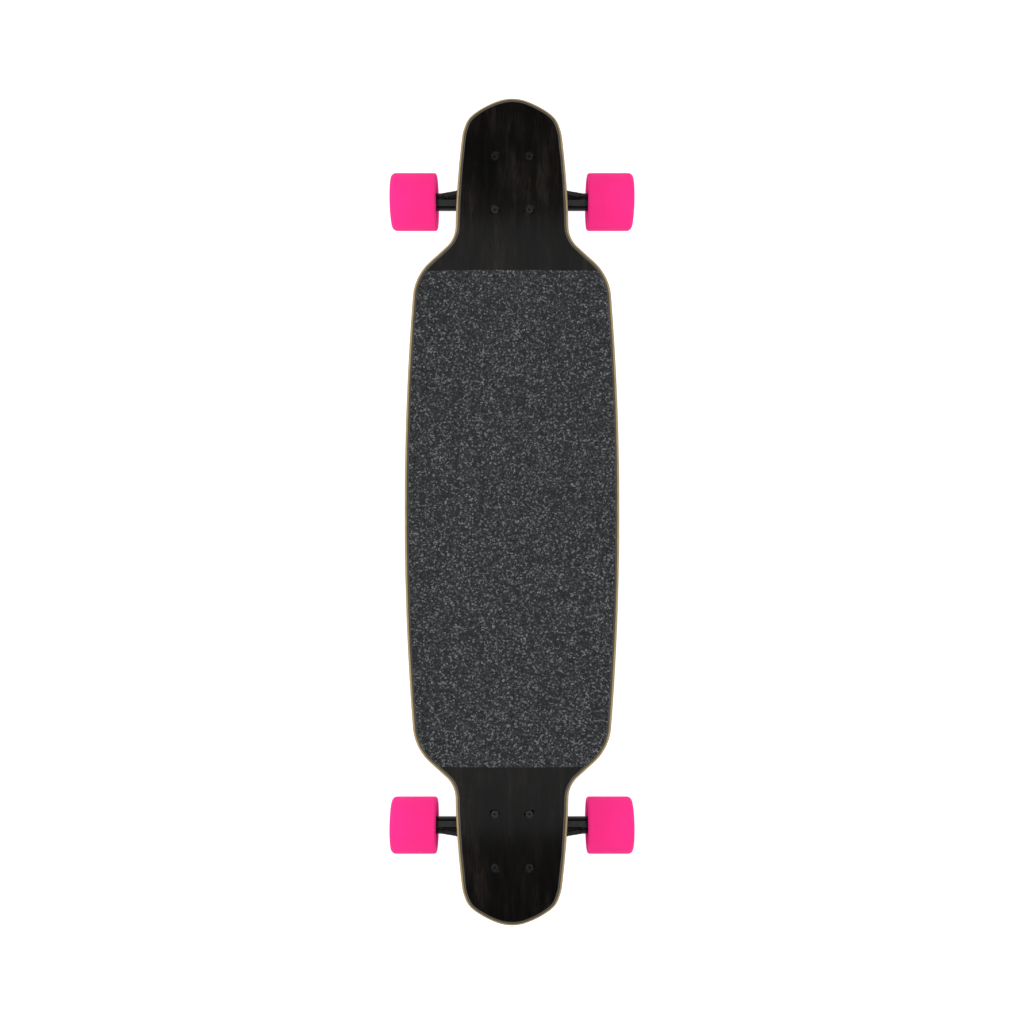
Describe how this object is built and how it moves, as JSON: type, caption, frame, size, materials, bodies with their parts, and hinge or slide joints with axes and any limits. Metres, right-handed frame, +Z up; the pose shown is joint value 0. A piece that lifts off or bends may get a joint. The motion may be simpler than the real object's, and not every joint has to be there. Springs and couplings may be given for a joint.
{
  "type": "electric skateboard",
  "caption": "Electric longboard: symmetric stained deck with wheel cut-outs and grip tape, reverse-kingpin trucks, pink wheels, rear hub motors, slim tub under the deck",
  "frame": {"origin": "on the ground under the middle of the board, between the wheels", "axes": "+Y to the nose, +X to the right, +Z up"},
  "size_m": [0.306, 0.99, 0.133],
  "materials": {
    "maple": "black stained maple, satin lacquer, bare tan edge",
    "grip": "coarse mineral grit",
    "black_rubber": "matte",
    "black_steel": "black oxide",
    "steel": "zinc plated",
    "truck_black": "black powder coat, semi gloss",
    "bushing_urethane": "cast urethane, satin",
    "tub_plastic": "fine moulded texture",
    "brass": "machined",
    "cell_wrap": "shrink wrapped can",
    "nickel": "plated",
    "circuit_board": "solder mask",
    "capacitor_can": "sleeved can",
    "bare_aluminium": "black anodised, fine brushed",
    "black_plastic": "moulded",
    "lamination": "stacked sheets",
    "copper": "enamelled wire",
    "pink_urethane": "smooth poured urethane",
    "core_nylon": "moulded nylon",
    "bearing_shield": "rubber shield in steel race",
    "motor_black": "black anodised, machined"
  },
  "bodies": {
    "root": {"deck": "maple", "grip_tape": "grip", "riser_pads": "black_rubber", "truck_bolts": "black_steel", "truck_nuts": "steel", "front_baseplate": "truck_black", "rear_baseplate": "truck_black", "pivot_cups": "bushing_urethane", "kingpins": "steel", "kingpin_nuts": "steel", "cup_washers": "steel", "front_bushings": "bushing_urethane", "rear_bushings": "bushing_urethane", "enclosure": "tub_plastic", "enclosure_gasket": "black_rubber", "enclosure_screws": "black_steel", "threaded_inserts": "brass", "battery_cells": "cell_wrap", "cell_strips": "nickel", "bms_board": "circuit_board", "controller_board": "circuit_board", "controller_capacitors": "capacitor_can", "heat_sink": "bare_aluminium", "power_button_bezel": "steel", "charge_socket": "black_plastic", "cable_glands": "black_plastic", "left_motor_cable": "black_rubber", "right_motor_cable": "black_rubber"},
    "power_button": {"power_button": "black_plastic"},
    "charge_port_cap": {"charge_port_cap": "black_rubber"},
    "front_hanger": {"front_hanger": "truck_black", "front_axle": "steel", "front_axle_nuts": "steel", "front_speed_washers": "steel", "front_inner_races": "steel", "front_bearing_spacers": "steel"},
    "rear_hanger": {"rear_hanger": "truck_black", "rear_axle": "steel", "motor_shafts": "steel", "stators": "lamination", "stator_coils": "copper", "rear_inner_races": "steel", "rear_axle_nuts": "steel", "rear_speed_washers": "steel"},
    "front_left_wheel": {"front_left_tyre": "pink_urethane", "front_left_core": "core_nylon", "front_left_outer_races": "bearing_shield"},
    "front_right_wheel": {"front_right_tyre": "pink_urethane", "front_right_core": "core_nylon", "front_right_outer_races": "bearing_shield"},
    "rear_left_wheel": {"rear_left_tyre": "pink_urethane", "rear_left_rotor": "motor_black", "rear_left_magnets": "nickel", "rear_left_motor_cover": "motor_black", "rear_left_outer_races": "bearing_shield"},
    "rear_right_wheel": {"rear_right_tyre": "pink_urethane", "rear_right_rotor": "motor_black", "rear_right_magnets": "nickel", "rear_right_motor_cover": "motor_black", "rear_right_outer_races": "bearing_shield"}
  },
  "joints": [
    {"name": "front_steer", "type": "hinge", "parent": "root", "child": "front_hanger", "pos_m": [0, 0.377, 0.0255], "axis": [0, 0.7071, 0.7071], "range_deg": [-15, 15], "stiffness_Nm_per_rad": 60, "deforming": ["front_bushings"]},
    {"name": "rear_steer", "type": "hinge", "parent": "root", "child": "rear_hanger", "pos_m": [0, -0.377, 0.0255], "axis": [0, -0.7071, 0.7071], "range_deg": [-15, 15], "stiffness_Nm_per_rad": 60, "deforming": ["rear_bushings", "left_motor_cable", "right_motor_cable"]},
    {"name": "power_button_press", "type": "slide", "parent": "root", "child": "power_button", "axis": [-1, 0, 0], "range_m": [0, 0.0012], "stiffness_N_per_m": 800},
    {"name": "charge_cap_hinge", "type": "hinge", "parent": "root", "child": "charge_port_cap", "pos_m": [0.07815, -0.108, 0.097], "axis": [0, 0, -1], "range_deg": [0, 110]},
    {"name": "front_left_spin", "type": "hinge", "parent": "front_hanger", "child": "front_left_wheel", "pos_m": [-0.124, 0.3965, 0.0355], "axis": [1, 0, 0], "continuous": true},
    {"name": "front_right_spin", "type": "hinge", "parent": "front_hanger", "child": "front_right_wheel", "pos_m": [0.124, 0.3965, 0.0355], "axis": [1, 0, 0], "continuous": true},
    {"name": "rear_left_spin", "type": "hinge", "parent": "rear_hanger", "child": "rear_left_wheel", "pos_m": [-0.124, -0.3965, 0.0355], "axis": [1, 0, 0], "continuous": true},
    {"name": "rear_right_spin", "type": "hinge", "parent": "rear_hanger", "child": "rear_right_wheel", "pos_m": [0.124, -0.3965, 0.0355], "axis": [1, 0, 0], "continuous": true}
  ]
}
